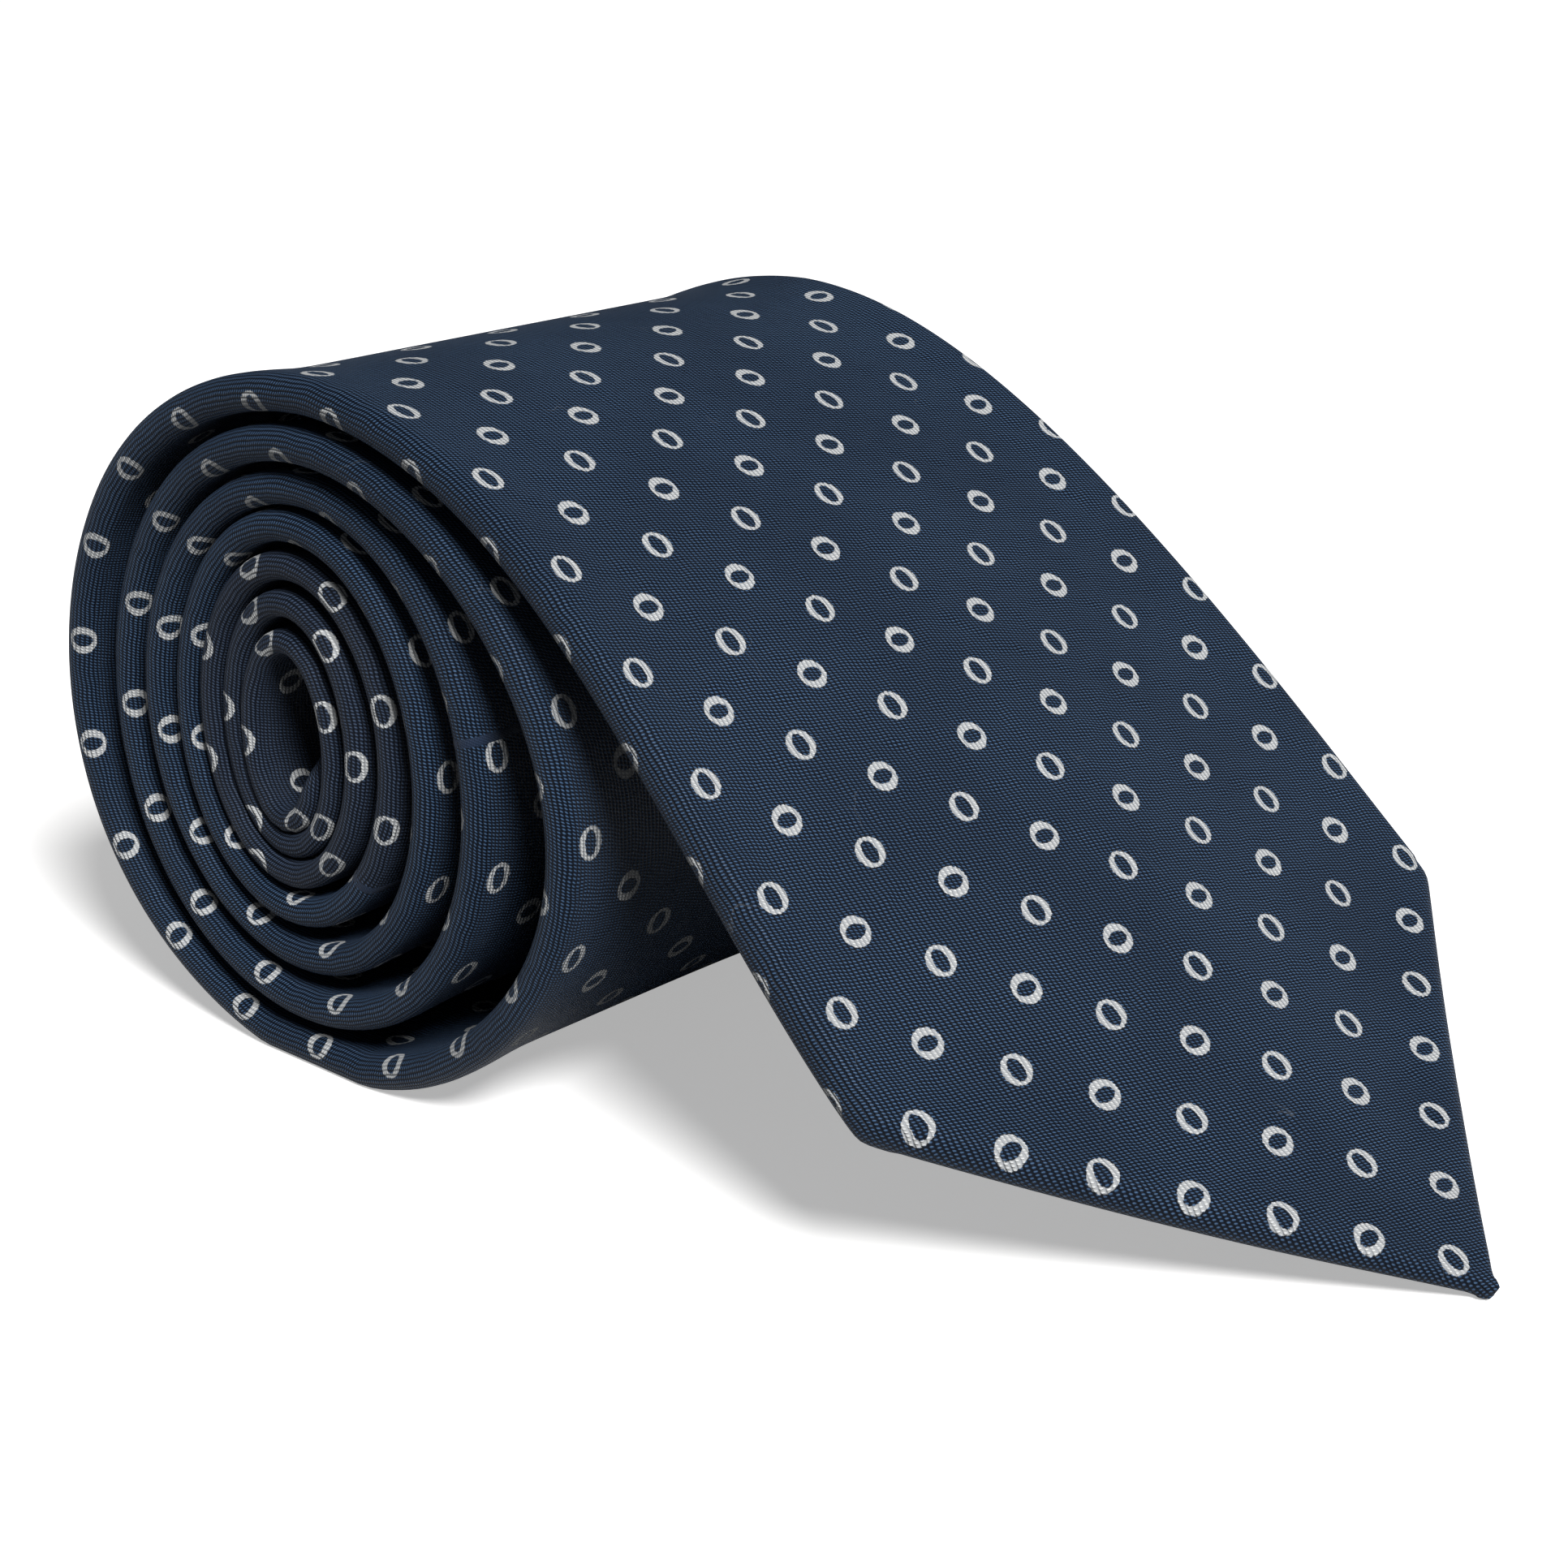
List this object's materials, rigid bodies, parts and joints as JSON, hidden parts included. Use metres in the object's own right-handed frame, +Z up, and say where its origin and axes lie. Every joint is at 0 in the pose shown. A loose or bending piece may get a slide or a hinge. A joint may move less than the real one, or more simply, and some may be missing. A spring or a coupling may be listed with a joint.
{
  "type": "necktie",
  "caption": "Pointed necktie rolled up from its narrow end, lying on its side, with the wide blade draped from the top of the roll down to the table.",
  "frame": {"origin": "middle of the flat patch under the roll, on the surface it lies on", "axes": "+Z up, +X from the roll towards the tip of the free blade, +Y along the roll's axis"},
  "size_m": [0.1809, 0.095, 0.0862],
  "materials": {
    "silk_twill": "satin",
    "lining_satin": "satin",
    "wool_interlining": "matte",
    "sewing_thread": "matte",
    "woven_label": "satin",
    "care_label": "satin"
  },
  "bodies": {
    "rolled_tie": {"blade_rolled": "silk_twill", "neck_piece": "silk_twill", "tail_piece": "silk_twill", "blade_neck_seam": "sewing_thread", "neck_tail_seam": "sewing_thread", "interlining_rolled": "wool_interlining", "tail_tipping": "lining_satin", "slip_stitch_rolled": "sewing_thread", "tail_bar_tack": "sewing_thread", "keeper_loop": "silk_twill", "label": "woven_label", "care_label": "care_label"},
    "free_blade": {"blade_free_end": "silk_twill", "interlining_free_end": "wool_interlining", "blade_tipping": "lining_satin", "blade_bar_tack": "sewing_thread", "slip_stitch_free_end": "sewing_thread"}
  },
  "joints": [
    {"name": "blade_lift", "type": "hinge", "parent": "rolled_tie", "child": "free_blade", "pos_m": [0.001, 0, 0.0862], "axis": [0, -1, 0], "range_deg": [0, 35]}
  ]
}
